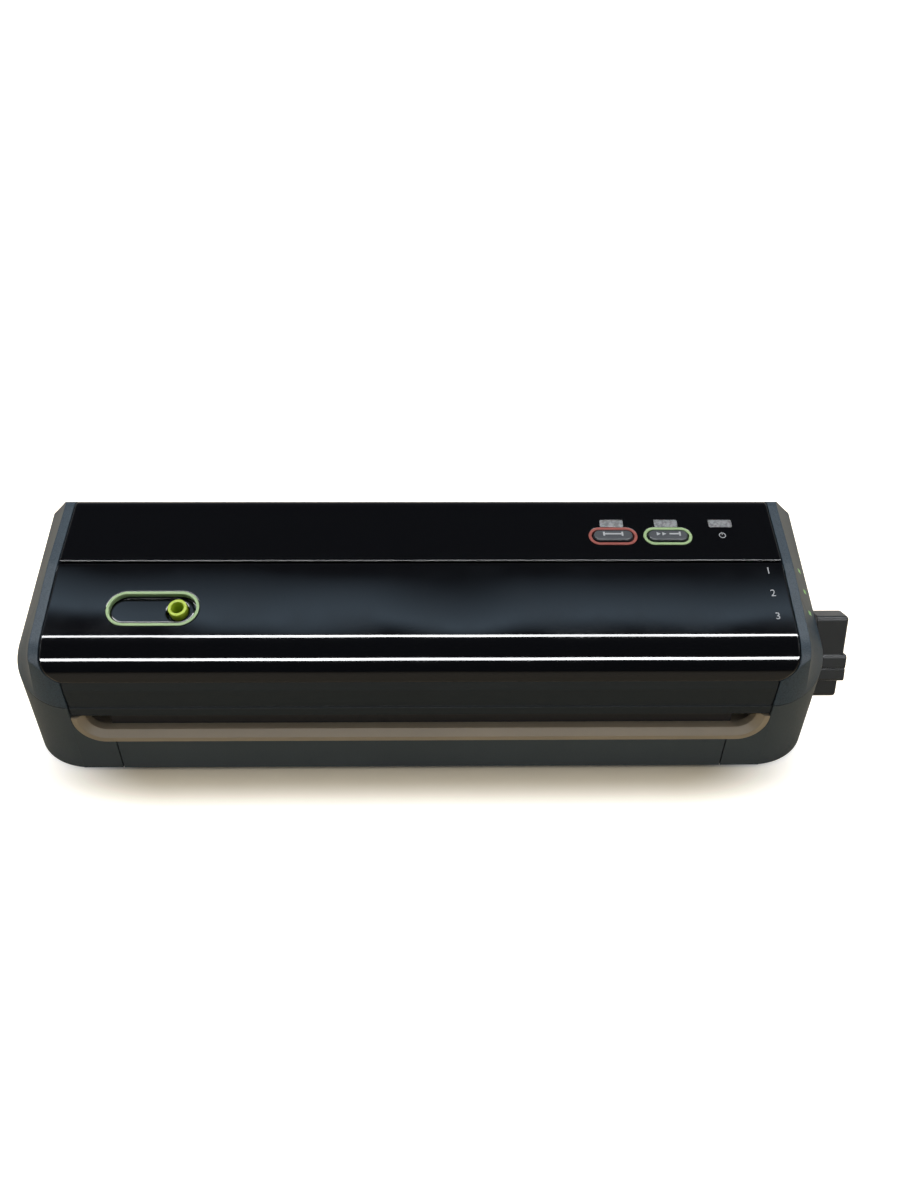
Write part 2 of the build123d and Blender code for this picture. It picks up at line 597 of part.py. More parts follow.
nodes["accessory_port"] = extrude(LID_PLANE * (Pos(port_at[0], port_at[1], -PORT_L) * tube), PORT_L + PORT_PROUD)
nut = RegularPolygon(PORT_R + 2.1, 6) - Circle(PORT_R)
nut_low = Pos(port_at[0], port_at[1], -DISH_DEPTH - DISH_T - 3)
nodes["port_nut"] = extrude(LID_PLANE * (nut_low * nut), 3.0)
hose_top = LID_PLANE.from_local_coords(Vector(port_at[0], port_at[1], -PORT_L))
hose_end = Vector(PORT_X, (CHANNEL_Y[0] + CHANNEL_Y[1]) / 2, PLATE_Z + WALL)
hose_path = Spline(hose_top, hose_end, tangents=[-LID_PLANE.z_dir, (0, 0, -1)])
hose_plane = Plane(hose_top, x_dir=(1, 0, 0), z_dir=-LID_PLANE.z_dir)
nodes["port_hose"] = sweep(hose_plane * (Circle(PORT_R) - Circle(PORT_BORE)), hose_path)

# Hinge pins, held in the trims.
right_pin, left_pin = both_sides(bar_x(AXIS, PIN_R, LID_HALF - PIN_L, LID_HALF + LID_GAP + LAND - 0.5))
nodes["right_hinge_pin"] = right_pin
nodes["left_hinge_pin"] = left_pin

# Latch: cross shaft in two bushes, a hook at each end and the lever outside.
shaft_at = (SHAFT_Y, SHAFT_Z)
BUSH_X = (FLAP_HALF + LID_GAP, FLAP_HALF + LID_GAP + WALL)
bush = bar_x(shaft_at, SHAFT_R + BUSH_T, *BUSH_X)
bush += bar_x(shaft_at, SHAFT_R + BUSH_T + 1.5, BUSH_X[1], BUSH_X[1] + 1.5)
bush -= bar_x(shaft_at, SHAFT_R + 0.08, 0, SPAN)
right_bush, left_bush = both_sides(bush)
nodes["right_shaft_bush"] = right_bush
nodes["left_shaft_bush"] = left_bush

lever_seat = LEVER_X[0] + LEVER_BORE
shaft = bar_x(shaft_at, SHAFT_R, -BUSH_X[1] - 2.5, lever_seat)
shaft -= bar_x(shaft_at, 1.3, LEVER_X[0] - 2, lever_seat + 1)
nodes["latch_shaft"] = shaft

reach = math.hypot(STRIKER[0] - SHAFT_Y, STRIKER[1] - SHAFT_Z)
aim = math.degrees(math.atan2(STRIKER[1] - SHAFT_Z, STRIKER[0] - SHAFT_Y))
hook_in = reach + STRIKER_R + HOOK_CLEAR
hook_out = hook_in + HOOK_BAND
tip = aim + LOCK_TURN
heel = tip + 44
finger = Circle(hook_out) - Circle(hook_in)


def ray(angle, length):
    return length * math.cos(math.radians(angle)), length * math.sin(math.radians(angle))


wedge = outline([(0, 0), ray(tip, 60), ray((tip + heel) / 2, 80), ray(heel, 60)])
finger &= wedge
arm_root = Pos(*ray(heel - 90, 4.5)), Pos(*ray(heel + 90, 4.5))
arm_outer = Pos(*ray(heel, hook_out - 1.2)) * Pos(*ray(heel + 90, 0.1))
arm_inner = Pos(*ray(heel, hook_out - 2)) * Pos(*ray(heel - 90, 6))
arm = outline([place.position for place in (*arm_root, arm_outer, arm_inner)])
hook_face = finger + arm + Circle(HOOK_HUB_R) - Circle(SHAFT_R)
right_hook, left_hook = both_sides(along_x(Pos(SHAFT_Y, SHAFT_Z) * hook_face, *HOOK_X))
nodes["right_latch_hook"] = right_hook
nodes["left_latch_hook"] = left_hook

lean = Pos(SHAFT_Y, SHAFT_Z) * Rot(0, 0, -LEVER_TILT)
half_t = LEVER_T / 2
rest_mid = (REST_LOW + REST_HIGH) / 2
paddle = outline([(-half_t + 1.2, 0), (half_t - 1.2, 0), (half_t, LEVER_UP), (-half_t, LEVER_UP)])
paddle = fillet(paddle.vertices().group_by(Axis.Y)[-1], 2.0)
tail = outline([(-half_t + 1.6, 0), (half_t - 1.2, 0),
                (half_t - 1.6, -LEVER_DOWN), (-half_t + 2.2, -LEVER_DOWN)])
tail = fillet(tail.vertices().group_by(Axis.Y)[0], 3.0)
rest = outline([(-half_t - 0.2, REST_LOW), (half_t - 0.8, REST_LOW),
                (half_t - 0.8, REST_HIGH), (-half_t - 0.2, REST_HIGH)])
rest = fillet(rest.vertices(), 1.5)
rest -= Pos(-half_t - 0.2, rest_mid) * Rectangle(1.2, 0.8)


def lever_slice(face, outer, soften):
    piece = along_x(lean * face, LEVER_X[0], outer)
    return fillet(piece.faces().sort_by(Axis.X)[-1].edges(), soften)


lever = lever_slice(paddle, LEVER_X[1], 1.5) + lever_slice(tail, LEVER_X[1] - 1.0, 1.2)
lever += lever_slice(rest, LEVER_X[1] + REST_PROUD, 0.4)
screw_face = LEVER_X[1] + REST_PROUD - 2
lever -= bar_x(shaft_at, SHAFT_R, LEVER_X[0] - 1, lever_seat)
lever -= bar_x(shaft_at, 1.7, lever_seat - 1, screw_face - 1)
lever -= bar_x(shaft_at, 3.3, screw_face - 2, screw_face + 5)
nodes["latch_lever"] = lever
screw = bar_x(shaft_at, 3.1, screw_face - 2, screw_face) + bar_x(shaft_at, 1.3, LEVER_X[0], screw_face - 1)
screw -= Pos(screw_face, SHAFT_Y, SHAFT_Z) * Box(1.6, 0.9, 4.4)
screw -= Pos(screw_face, SHAFT_Y, SHAFT_Z) * Box(1.6, 4.4, 0.9)
nodes["lever_screw"] = screw

# Vacuum pump, motor, hose, transformer and cord gland inside the rear of the base.
FLOOR = FOOT_H + WALL
head_x = -4.0
motor_x = head_x - MOTOR_L
pump_y = (MOTOR[0] - MOTOR_R, MOTOR[0] + MOTOR_R)
bracket = box(motor_x - 2, head_x + HEAD_W + 4, pump_y[0], pump_y[1], FLOOR, FLOOR + 2)
for x in (motor_x + 6, head_x - 8):
    bracket += box(x, x + 4, pump_y[0] + 2, pump_y[1] - 2, FLOOR, MOTOR[1] + 6)
bracket -= bar_x(MOTOR, MOTOR_R, motor_x - 6, head_x + 4)
nodes["pump_bracket"] = bracket
nodes["pump_motor"] = bar_x(MOTOR, MOTOR_R, motor_x, head_x) + bar_x(MOTOR, 7, motor_x - 3, motor_x)
nipple_end = head_x + HEAD_W + NIPPLE_L
head = box(head_x, head_x + HEAD_W, pump_y[0], pump_y[1], FLOOR + 2, HEAD_TOP)
head += bar_x(NIPPLE, HOSE_R - 0.6, head_x + HEAD_W, nipple_end)
nodes["pump_head"] = head
hose_from = (nipple_end, *NIPPLE)
hose_to = (HOSE_X, CHANNEL_Y[1] + 2, HOSE_Z)
hose_via = (HOSE_X + 2, BULKHEAD_Y + WALL, HOSE_Z)
hose_line = Spline(hose_from, hose_via, hose_to, tangents=[(1, 0, 0), (0, -1, 0)])
hose_start = Plane(hose_from, x_dir=(0, 1, 0), z_dir=(1, 0, 0))
nodes["vacuum_hose"] = sweep(hose_start * (Circle(HOSE_R) - Circle(HOSE_BORE)), hose_line)
core_at = (TRANSFORMER_IN - FLAP_HALF, MOTOR[0] + 2, FLOOR + CORE[2] / 2)
transformer = Pos(*core_at) * Box(*CORE)
transformer += Pos(core_at[0], core_at[1], FLOOR + 6 + COIL[2] / 2) * Box(*COIL)
nodes["transformer"] = transformer
gland = Pos(GLAND_X, DEPTH - 2.5, GLAND_Z) * Rot(90, 0, 0) * Cylinder(GLAND_R, 7)
gland += Pos(GLAND_X, DEPTH + 1, GLAND_Z) * Rot(90, 0, 0) * Cylinder(GLAND_R + 2.5, 2)
gland += Pos(GLAND_X, DEPTH + GLAND_OUT / 2 + 1, GLAND_Z) * Rot(90, 0, 0) * Cylinder(GLAND_R, GLAND_OUT - 2)
gland -= Pos(GLAND_X, DEPTH, GLAND_Z) * Rot(90, 0, 0) * Cylinder(GLAND_BORE, 40)
nodes["cord_gland"] = gland

# Every piece is placed with the middle of the whole object's footprint at the origin, and written out.
shift = Pos(-(LEVER_X[1] + REST_PROUD - HALF_W) / 2, -(DEPTH + GLAND_OUT) / 2, 0)
for name, solid in nodes.items():
    placed = shift * solid
    placed.label = name
    export_step(placed, os.path.join("parts", name + ".step"))
    pieces = placed.solids()
    print(name, len(pieces), [round(p.volume) for p in pieces][:4])
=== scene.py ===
import math

import bpy
from mathutils import Matrix, Vector


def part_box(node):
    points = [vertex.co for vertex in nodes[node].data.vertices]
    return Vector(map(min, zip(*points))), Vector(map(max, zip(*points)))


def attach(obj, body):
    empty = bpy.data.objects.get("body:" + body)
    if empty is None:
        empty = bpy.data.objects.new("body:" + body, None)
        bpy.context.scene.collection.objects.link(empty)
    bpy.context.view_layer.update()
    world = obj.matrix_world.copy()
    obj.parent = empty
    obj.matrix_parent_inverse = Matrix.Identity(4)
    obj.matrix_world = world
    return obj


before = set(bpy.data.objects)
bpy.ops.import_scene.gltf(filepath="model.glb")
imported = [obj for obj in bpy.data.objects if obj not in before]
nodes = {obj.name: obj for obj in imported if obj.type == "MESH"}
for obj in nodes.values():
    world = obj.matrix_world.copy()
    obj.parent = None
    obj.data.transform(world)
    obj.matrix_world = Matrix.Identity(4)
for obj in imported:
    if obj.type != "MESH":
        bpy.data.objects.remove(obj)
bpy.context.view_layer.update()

# Base tub, the low moulding that everything else is screwed to, and the two end caps that wrap its corners.
# Injection-moulded ABS in dark slate, with a fine spark-eroded texture that kills the shine.
# The caps clip to the tub along short upright seams in the front.
MM = 0.001
SLATE = "#373e41"
DRIFT_MM = 60.0
DRIFT_DARK, DRIFT_LIGHT = 0.92, 1.06
GRAIN_SPREAD = 0.06
SHEEN_ROUGHNESS = 0.35


def linear(hex_colour):
    channels = [int(hex_colour[i:i + 2], 16) / 255 for i in (1, 3, 5)]
    curve = [c / 12.92 if c <= 0.04045 else ((c + 0.055) / 1.055) ** 2.4 for c in channels]
    return (*curve, 1.0)


def add(tree, kind, links=None, values=None, **settings):
    made = tree.nodes.new(kind)
    for name, value in settings.items():
        setattr(made, name, value)
    for name, value in (values or {}).items():
        made.inputs[name].default_value = value
    for name, socket in (links or {}).items():
        tree.links.new(socket, made.inputs[name])
    return made


def new_material(name):
    material = bpy.data.materials.new(name)
    material.use_nodes = True
    material.node_tree.nodes.clear()
    return material, material.node_tree


def surface(tree, shader):
    add(tree, "ShaderNodeOutputMaterial", links={"Surface": shader.outputs[0]})


def finish(material, *names):
    for name in names:
        piece = nodes[name]
        piece.data.materials.clear()
        piece.data.materials.append(material)


# Spark-textured ABS: an even, matte grain that breaks up highlights, with a faint drift in shade.
# The real grain is about 0.3 mm; it is drawn at the given size so that it still shows in the picture.
def spark_textured_abs(name, colour, roughness=0.55, grain_mm=0.7, depth_mm=0.02, edge_mm=0.35, shine=0.12,
                       sheen=0.0):
    material, tree = new_material(name)
    place = add(tree, "ShaderNodeTexCoord")
    grain = add(tree, "ShaderNodeTexNoise", links={"Vector": place.outputs["Object"]},
                values={"Scale": 1 / (grain_mm * MM), "Detail": 3.0, "Roughness": 0.6})
    drift = add(tree, "ShaderNodeTexNoise", links={"Vector": place.outputs["Object"]},
                values={"Scale": 1 / (DRIFT_MM * MM), "Detail": 2.0})
    shade = add(tree, "ShaderNodeValToRGB", links={"Fac": drift.outputs["Fac"]})
    tone = linear(colour)[:3]
    shade.color_ramp.elements[0].position = 0.3
    shade.color_ramp.elements[1].position = 0.7
    shade.color_ramp.elements[0].color = (*[c * DRIFT_DARK for c in tone], 1)
    shade.color_ramp.elements[1].color = (*[c * DRIFT_LIGHT for c in tone], 1)
    rough = add(tree, "ShaderNodeMapRange", links={"Value": grain.outputs["Fac"]},
                values={"From Min": 0.3, "From Max": 0.7,
                        "To Min": roughness - GRAIN_SPREAD, "To Max": roughness + GRAIN_SPREAD})
    edge = add(tree, "ShaderNodeBevel", values={"Radius": edge_mm * MM}, samples=4)
    bump = add(tree, "ShaderNodeBump",
               links={"Height": grain.outputs["Fac"], "Normal": edge.outputs["Normal"]},
               values={"Strength": 0.6, "Distance": depth_mm * MM})
    shader = add(tree, "ShaderNodeBsdfPrincipled",
                 links={"Base Color": shade.outputs["Color"], "Roughness": rough.outputs["Result"],
                        "Normal": bump.outputs["Normal"]},
                 values={"IOR": 1.53, "Specular IOR Level": shine,
                         "Sheen Weight": sheen, "Sheen Roughness": SHEEN_ROUGHNESS})
    surface(tree, shader)
    return material


slate_abs = spark_textured_abs("slate_ABS_spark_textured", SLATE)
finish(slate_abs, "base_tub", "right_end_cap", "left_end_cap", "rear_bulkhead")

# Feet and screws under the tub, and the small steel parts of the hinge and the latch.
# The feet are moulded black rubber pads pressed into the tub's underside. The screws are zinc-plated steel,
# sunk in bosses; the same plated steel makes the lever's screw, the shaft, pins, strikers and hooks.
RUBBER = "#1c1c1d"
ZINC = "#b9bcc0"
LINE_STRETCH = 0.06
LINE_DEPTH_MM = 0.01
POLISH_SPREAD = 0.12
rubber = spark_textured_abs("black_rubber_moulded", RUBBER, roughness=0.85, grain_mm=1.0, depth_mm=0.03)
finish(rubber, "front_left_foot", "front_right_foot", "rear_left_foot", "rear_right_foot")


# Plated steel: a bright metal with short drawn lines along X and a slightly uneven polish.
def drawn_metal(name, colour, roughness=0.3, line_mm=0.4):
    material, tree = new_material(name)
    place = add(tree, "ShaderNodeTexCoord")
    stretch = add(tree, "ShaderNodeMapping", links={"Vector": place.outputs["Object"]},
                  values={"Scale": (LINE_STRETCH, 1.0, 1.0)})
    lines = add(tree, "ShaderNodeTexNoise", links={"Vector": stretch.outputs["Vector"]},
                values={"Scale": 1 / (line_mm * MM), "Detail": 4.0})
    rough = add(tree, "ShaderNodeMapRange", links={"Value": lines.outputs["Fac"]},
                values={"To Min": roughness - POLISH_SPREAD, "To Max": roughness + POLISH_SPREAD})
    bump = add(tree, "ShaderNodeBump", links={"Height": lines.outputs["Fac"]},
               values={"Strength": 0.3, "Distance": LINE_DEPTH_MM * MM})
    shader = add(tree, "ShaderNodeBsdfPrincipled",
                 links={"Roughness": rough.outputs["Result"], "Normal": bump.outputs["Normal"]},
                 values={"Base Color": linear(colour), "Metallic": 1.0})
    surface(tree, shader)
    return material


zinc_steel = drawn_metal("zinc_plated_steel_drawn", ZINC)
finish(zinc_steel, "base_screws", "lever_screw", "latch_shaft", "right_hinge_pin", "left_hinge_pin",
       "right_striker", "left_striker", "right_latch_hook", "left_latch_hook")

# Bag deck: the warm grey tray inside the mouth, with its rolled lip, channel and step.
# Moulded ABS, smoother than the outside so that it wipes clean.
WARM_GREY = "#938671"
deck_abs = spark_textured_abs("warm_grey_ABS_fine_moulded", WARM_GREY, roughness=0.5,
                              grain_mm=0.9, depth_mm=0.006, shine=0.08)
finish(deck_abs, "bag_deck")

# Sealing line: a black phenolic bar, a nichrome ribbon along it and a brown tape of coated glass cloth.
# The cloth's weave shows as a fine check through the coating.
PHENOLIC = "#242120"
NICHROME = "#a8a39b"
TAPE = "#8a6a45"
TAPE_DARK = "#7a5c3a"
WEAVE_MM = 1.0
WEAVE_DEPTH_MM = 0.02
phenolic = spark_textured_abs("black_phenolic_pressed", PHENOLIC, roughness=0.5, grain_mm=1.5, depth_mm=0.01)
finish(phenolic, "seal_bar")
nichrome = drawn_metal("nichrome_ribbon_rolled", NICHROME, roughness=0.35)
finish(nichrome, "heating_strip")
tape_cloth, tree = new_material("PTFE_coated_glass_cloth_woven")
place = add(tree, "ShaderNodeTexCoord")
check = add(tree, "ShaderNodeTexChecker", links={"Vector": place.outputs["Object"]},
            values={"Scale": 1 / (WEAVE_MM * MM), "Color1": linear(TAPE), "Color2": linear(TAPE_DARK)})
weave = add(tree, "ShaderNodeBump", links={"Height": check.outputs["Fac"]},
            values={"Strength": 0.4, "Distance": WEAVE_DEPTH_MM * MM})
shader = add(tree, "ShaderNodeBsdfPrincipled",
             links={"Base Color": check.outputs["Color"], "Normal": weave.outputs["Normal"]},
             values={"Roughness": 0.38, "IOR": 1.38})
surface(tree, shader)
finish(tape_cloth, "release_tape")

# Gaskets round the vacuum channel, on the deck and in the lid, and the pressure strip over the sealing line.
# Die-cut closed-cell neoprene foam: soft black with small open pores on its skin.
# The strip is a solid silicone extrusion in dull red-brown.
FOAM = "#17181a"
PORE_MM = 1.1
PORE_DEPTH_MM = 0.1
SILICONE = "#6b3a31"
foam, tree = new_material("neoprene_foam_die_cut")
place = add(tree, "ShaderNodeTexCoord")
pores = add(tree, "ShaderNodeTexVoronoi", links={"Vector": place.outputs["Object"]},
            values={"Scale": 1 / (PORE_MM * MM)})
tone = add(tree, "ShaderNodeMapRange", links={"Value": pores.outputs["Distance"]},
           values={"From Max": 0.7, "To Min": 0.7, "To Max": 0.95})
bump = add(tree, "ShaderNodeBump", links={"Height": pores.outputs["Distance"]},
           values={"Strength": 0.7, "Distance": PORE_DEPTH_MM * MM})
shader = add(tree, "ShaderNodeBsdfPrincipled",
             links={"Roughness": tone.outputs["Result"], "Normal": bump.outputs["Normal"]},
             values={"Base Color": linear(FOAM), "Sheen Weight": 0.1})
surface(tree, shader)
finish(foam, "lower_gasket", "upper_gasket")
silicone_strip = spark_textured_abs("red_brown_silicone_extruded", SILICONE, roughness=0.6, depth_mm=0.01)
finish(silicone_strip, "pressure_strip")

# Pump, motor, hose and transformer in the rear of the base, under the covers.
# A drawn steel motor can, a nylon pump head on a plated bracket, a clear-grey silicone hose,
# and a transformer of stacked steel laminations with a taped coil.
MOTOR_CAN = "#9da0a3"
NYLON = "#d7d3c6"
HOSE = "#b9bab6"
STACK = "#55585b"
LAMINATION_MM = 1.0
LAMINATION_DEPTH_MM = 0.05
WAVE_TURN = 0.314
motor_steel = drawn_metal("motor_can_steel_deep_drawn", MOTOR_CAN, roughness=0.4)
finish(motor_steel, "pump_motor", "pump_bracket")
nylon = spark_textured_abs("natural_nylon_moulded", NYLON, roughness=0.5)
finish(nylon, "pump_head", "right_shaft_bush", "left_shaft_bush")
hose_silicone = spark_textured_abs("grey_silicone_hose_extruded", HOSE, roughness=0.4, depth_mm=0.005)
finish(hose_silicone, "vacuum_hose", "port_hose")
stack_steel, tree = new_material("transformer_steel_laminated")
place = add(tree, "ShaderNodeTexCoord")
layers = add(tree, "ShaderNodeTexWave", links={"Vector": place.outputs["Object"]},
             values={"Scale": WAVE_TURN / (LAMINATION_MM * MM), "Distortion": 0.3},
             bands_direction="Y")
bump = add(tree, "ShaderNodeBump", links={"Height": layers.outputs["Fac"]},
           values={"Strength": 0.6, "Distance": LAMINATION_DEPTH_MM * MM})
shader = add(tree, "ShaderNodeBsdfPrincipled", links={"Normal": bump.outputs["Normal"]},
             values={"Base Color": linear(STACK), "Metallic": 0.8, "Roughness": 0.5})
surface(tree, shader)
finish(stack_steel, "transformer")

# Cord gland in the back: a plain black PVC bush with a round hole for the cord.
# It is moulded soft and pushed through the tub's rear wall.
PVC = "#1b1c1e"
pvc = spark_textured_abs("black_PVC_moulded", PVC, roughness=0.5, depth_mm=0.01)
finish(pvc, "cord_gland")

# Control board under the panel: green solder-masked glass-epoxy with two tact switches and three lights.
# The mask is a glossy coat over copper, so broad areas read a little lighter.
MASK = "#1d5a38"
MASK_ON_COPPER = "#256b44"
MASK_GAP = "#123f27"
COPPER_MM = 8.0
SWITCH_BLACK = "#202224"
LIGHT_CLEAR = "#e6e4da"
board_epoxy, tree = new_material("glass_epoxy_solder_masked")
place = add(tree, "ShaderNodeTexCoord")
copper = add(tree, "ShaderNodeTexBrick", links={"Vector": place.outputs["Object"]},
             values={"Scale": 1 / (COPPER_MM * MM), "Color1": linear(MASK), "Color2": linear(MASK_ON_COPPER),
                     "Mortar": linear(MASK_GAP), "Mortar Size": 0.03})
shader = add(tree, "ShaderNodeBsdfPrincipled", links={"Base Color": copper.outputs["Color"]},
             values={"Roughness": 0.25, "Coat Weight": 0.5, "Coat Roughness": 0.1})
surface(tree, shader)
finish(board_epoxy, "control_board")
switch_nylon = spark_textured_abs("black_switch_nylon_moulded", SWITCH_BLACK, roughness=0.45, depth_mm=0.005)
finish(switch_nylon, "board_switches")
lamp_epoxy = spark_textured_abs("water_clear_epoxy_cast", LIGHT_CLEAR, roughness=0.25, depth_mm=0.003)
finish(lamp_epoxy, "board_lights")

# Control panel and lid cover: the wide gloss skin of the machine.
# ABS moulded against a polished tool, nearly black, with a mirror shine. A slow ripple left by shrinkage
# bends the reflections, drawn deeper than it is so that it shows, and a haze of handling varies the polish.
PIANO_BLACK = "#060608"
RIPPLE_MM = 95.0
RIPPLE_DEPTH_MM = 0.7
HAZE_MM = 18.0
GLOSS_FINE, GLOSS_HAZED = 0.035, 0.07
GLOSS_EDGE_MM = 0.9
gloss_abs, tree = new_material("piano_black_ABS_polished")
place = add(tree, "ShaderNodeTexCoord")
ripple = add(tree, "ShaderNodeTexNoise", links={"Vector": place.outputs["Object"]},
             values={"Scale": 1 / (RIPPLE_MM * MM), "Detail": 1.0})
haze = add(tree, "ShaderNodeTexNoise", links={"Vector": place.outputs["Object"]},
           values={"Scale": 1 / (HAZE_MM * MM), "Detail": 5.0})
polish = add(tree, "ShaderNodeMapRange", links={"Value": haze.outputs["Fac"]},
             values={"From Min": 0.35, "From Max": 0.75, "To Min": GLOSS_FINE, "To Max": GLOSS_HAZED})
edge = add(tree, "ShaderNodeBevel", values={"Radius": GLOSS_EDGE_MM * MM}, samples=8)
wave = add(tree, "ShaderNodeBump", links={"Height": ripple.outputs["Fac"], "Normal": edge.outputs["Normal"]},
           values={"Strength": 1.0, "Distance": RIPPLE_DEPTH_MM * MM})
shader = add(tree, "ShaderNodeBsdfPrincipled",
             links={"Roughness": polish.outputs["Result"], "Normal": wave.outputs["Normal"]},
             values={"Base Color": linear(PIANO_BLACK), "IOR": 1.54, "Specular IOR Level": 0.2})
surface(tree, shader)
finish(gloss_abs, "control_panel", "lid_cover")

# Rear cover: the vented slope behind the crest, which closes the base over the pump.
# Moulded ABS in the same black as the lid, but only satin.
SATIN_BLACK = "#141618"
satin_black = spark_textured_abs("satin_black_ABS_moulded", SATIN_BLACK, roughness=0.38,
                                 grain_mm=0.9, depth_mm=0.006)
finish(satin_black, "rear_cover")

# Side trims and the cover over the left hinge pin: slate-blue ABS with a satin, slightly pearly paint.
# The flake in the paint lifts the flank where it turns to the light.
TRIM_LIGHT = "#3c4953"
TRIM_DARK = "#2f3a43"
FLAKE_MM = 0.6
FLAKE_DEPTH_MM = 0.01
TRIM_EDGE_MM = 0.6
trim_paint, tree = new_material("slate_blue_ABS_satin_painted")
place = add(tree, "ShaderNodeTexCoord")
flake = add(tree, "ShaderNodeTexVoronoi", links={"Vector": place.outputs["Object"]},
            values={"Scale": 1 / (FLAKE_MM * MM)})
tint = add(tree, "ShaderNodeMapRange", links={"Value": flake.outputs["Distance"]},
           values={"From Max": 0.8})
paint = add(tree, "ShaderNodeValToRGB", links={"Fac": tint.outputs["Result"]})
paint.color_ramp.elements[0].color = linear(TRIM_LIGHT)
paint.color_ramp.elements[1].color = linear(TRIM_DARK)
edge = add(tree, "ShaderNodeBevel", values={"Radius": TRIM_EDGE_MM * MM}, samples=4)
bump = add(tree, "ShaderNodeBump",
           links={"Height": flake.outputs["Distance"], "Normal": edge.outputs["Normal"]},
           values={"Strength": 0.25, "Distance": FLAKE_DEPTH_MM * MM})
shader = add(tree, "ShaderNodeBsdfPrincipled",
             links={"Base Color": paint.outputs["Color"], "Normal": bump.outputs["Normal"]},
             values={"Roughness": 0.46, "IOR": 1.5, "Specular IOR Level": 0.08})
surface(tree, shader)
finish(trim_paint, "right_side_trim", "left_side_trim", "hinge_pin_cover")

# Front flap and inner frame of the lid, held behind the gloss cover.
# Both are moulded ABS: the flap in a dark slate that looks out under the nose, the frame in plain dark grey.
FLAP_SLATE = "#11191c"
FRAME_GREY = "#202325"
flap_abs = spark_textured_abs("slate_ABS_flap_textured", FLAP_SLATE, roughness=0.55, edge_mm=0.25)
finish(flap_abs, "lid_front_flap")
frame_abs = spark_textured_abs("dark_grey_ABS_moulded", FRAME_GREY, roughness=0.5)
finish(frame_abs, "lid_frame")

# Latch lever: a dark slate ABS paddle, moulded with soft edges and screwed to the end of the cross shaft.
# Its fine texture scatters light at a glancing view, which lifts the top face.
LEVER_SLATE = "#14181a"
lever_abs = spark_textured_abs("slate_ABS_lever_textured", LEVER_SLATE, roughness=0.42, edge_mm=0.8,
                               shine=0.15, sheen=0.8)
finish(lever_abs, "latch_lever")

# Buttons with their rings, and the three light windows.
# Grey satin ABS caps in coloured ABS rings; the windows are frosted polycarbonate.
RED_RING = "#944b42"
GREEN_RING = "#93ad7c"
BUTTON_GREY = "#3b3f44"
LENS_DARK = "#505355"
LENS_PALE = "#797c7e"
LENS_ROUND_MM = 1.1
LENS_EDGE_MM = 0.5
FROST_MM = 1.6
LENSES = ("seal_light", "vacuum_light", "power_light")
button_abs = spark_textured_abs("grey_ABS_button_satin", BUTTON_GREY, roughness=0.35,
                                depth_mm=0.004, edge_mm=0.5, shine=0.15)
finish(button_abs, "seal_button", "vacuum_button")
red_abs = spark_textured_abs("red_ABS_ring_moulded", RED_RING, roughness=0.4, depth_mm=0.004, shine=0.08)
finish(red_abs, "seal_button_ring")
green_abs = spark_textured_abs("pale_green_ABS_ring_moulded", GREEN_RING, roughness=0.4,
                               depth_mm=0.004, shine=0.08)
finish(green_abs, "vacuum_button_ring", "accessory_ring")
lens_pc, tree = new_material("frosted_polycarbonate_moulded")
place = add(tree, "ShaderNodeTexCoord")
frost = add(tree, "ShaderNodeTexNoise", links={"Vector": place.outputs["Object"]},
            values={"Scale": 1 / (FROST_MM * MM), "Detail": 2.0})
cloud = add(tree, "ShaderNodeValToRGB", links={"Fac": frost.outputs["Fac"]})
cloud.color_ramp.elements[0].position = 0.4
cloud.color_ramp.elements[1].position = 0.6
cloud.color_ramp.elements[0].color = linear(LENS_DARK)
cloud.color_ramp.elements[1].color = linear(LENS_PALE)
edge = add(tree, "ShaderNodeBevel", values={"Radius": LENS_EDGE_MM * MM}, samples=4)
shader = add(tree, "ShaderNodeBsdfPrincipled",
             links={"Base Color": cloud.outputs["Color"], "Normal": edge.outputs["Normal"]},
             values={"Roughness": 0.3, "IOR": 1.58, "Subsurface Weight": 0.2, "Subsurface Scale": 0.002})
surface(tree, shader)
finish(lens_pc, *LENSES)
for name in LENSES:
    softened = nodes[name].modifiers.new("moulded_corners", "BEVEL")
    softened.width = LENS_ROUND_MM * MM
    softened.segments = 4
    softened.limit_method = "ANGLE"

# Accessory port: a dish in the lid, polished like it, with a nozzle for the hose of a jar or box.
# The nozzle is moulded lime ABS, held from below by a nut of the same.
LIME = "#a9c02e"
finish(gloss_abs, "accessory_dish")
lime_abs = spark_textured_abs("lime_ABS_moulded", LIME, roughness=0.45, depth_mm=0.006, edge_mm=0.6)
finish(lime_abs, "accessory_port", "port_nut")

# Label plate in the dish: a bare black slip of polished ABS with a rounded rim, glued to the dish's floor.
# A round hole lets the nozzle through. Its rim catches the light as a thin bright outline.
PLATE_MARGIN_MM = 2.6
PLATE_T_MM = 2.8
PLATE_RIM_MM = 0.5
HOLE_CLEAR_MM = 1.2
FACE_SHARE = 0.87
ARC_STEPS = 24
dish_low, dish_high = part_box("accessory_ring")
port_low, port_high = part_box("accessory_port")


def laid_on(carrier, x, y, above_mm):
    _, point, normal, _ = nodes[carrier].ray_cast(Vector((x, y, 1.0)), Vector((0, 0, -1)))
    normal = normal if normal.z > 0 else -normal
    across = Vector((1, 0, 0)) - normal * normal.x
    across.normalize()
    turned = Matrix((across, normal.cross(across), normal)).transposed()
    return Matrix.Translation(point + normal * above_mm * MM) @ turned.to_4x4()


def add_outline(curve, points):
    spline = curve.splines.new("POLY")
    spline.points.add(len(points) - 1)
    for made, (x, y) in zip(spline.points, points):
        made.co = (x, y, 0, 1)
    spline.use_cyclic_u = True


